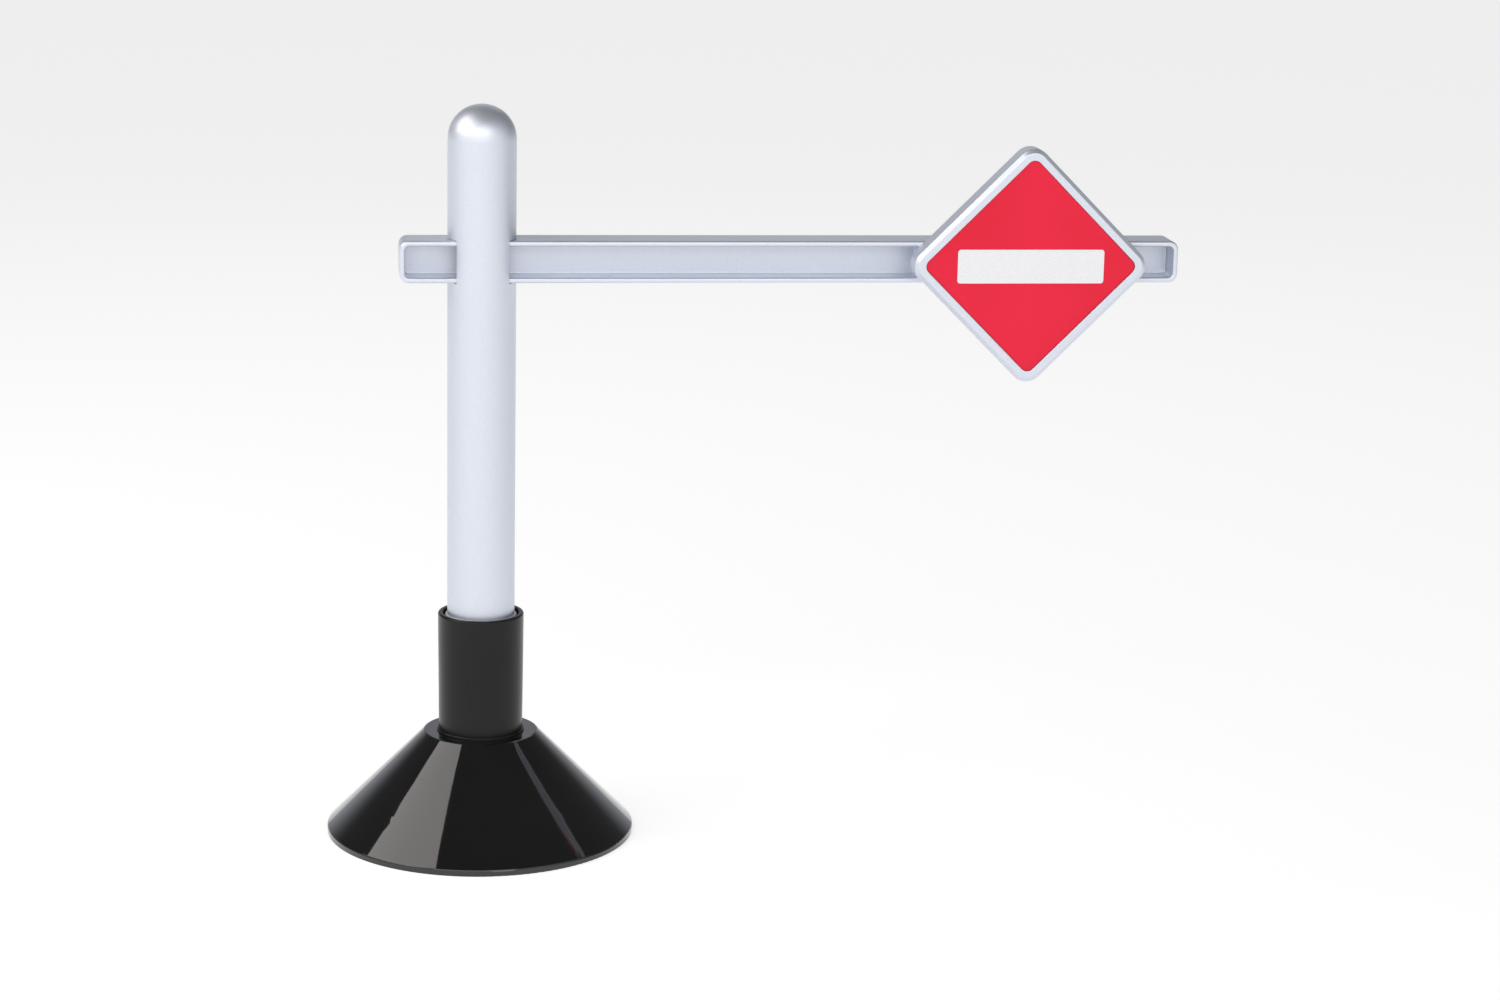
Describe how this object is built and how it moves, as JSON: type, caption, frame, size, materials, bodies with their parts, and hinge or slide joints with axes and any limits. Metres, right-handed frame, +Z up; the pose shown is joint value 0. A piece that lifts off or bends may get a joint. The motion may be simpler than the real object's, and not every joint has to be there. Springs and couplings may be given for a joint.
{
  "type": "signpost with sign",
  "caption": "Desk-size signpost: weighted round foot, post that swivels in a collar, and an arm that slides through the post and carries a diamond traffic sign.",
  "frame": {"origin": "centre of the foot's underside, on the post's axis", "axes": "+Z up along the post, +X along the arm towards the sign, and the sign's face looks along -Y"},
  "size_m": [0.346, 0.126, 0.3],
  "materials": {
    "silver_paint": "satin silver paint over moulded plastic",
    "gloss_black": "polished black plastic",
    "satin_black": "satin black plastic",
    "under_black": "fine-textured black plastic",
    "inner_grey": "plain moulded grey plastic",
    "ballast_steel": "plain zinc-plated steel",
    "screw_steel": "nickel-plated steel",
    "ring_rubber": "soft black rubber",
    "sign_red": "smooth bright red plastic",
    "legend_white": "white ink"
  },
  "bodies": {
    "foot": {"base_cone": "gloss_black", "base_plate": "under_black", "base_plate_screws": "screw_steel", "ballast_disc": "ballast_steel", "socket_collar": "satin_black", "socket_screws": "screw_steel"},
    "post": {"post_front_shell": "silver_paint", "post_back_shell": "silver_paint", "post_screws": "screw_steel", "post_foot_plug": "inner_grey", "friction_ring": "ring_rubber"},
    "arm": {"arm_channel": "silver_paint", "arm_to_sign_screws": "screw_steel", "sign_housing": "silver_paint", "sign_face": "sign_red", "sign_legend": "legend_white", "sign_back_plate": "silver_paint", "sign_plate_screws": "screw_steel"}
  },
  "joints": [
    {"name": "post_swivel", "type": "hinge", "parent": "foot", "child": "post", "pos_m": [0, 0, 0.09], "axis": [0, 0, 1], "continuous": true},
    {"name": "arm_slide", "type": "slide", "parent": "post", "child": "arm", "axis": [1, 0, 0], "range_m": [-0.155, 0.018]}
  ]
}
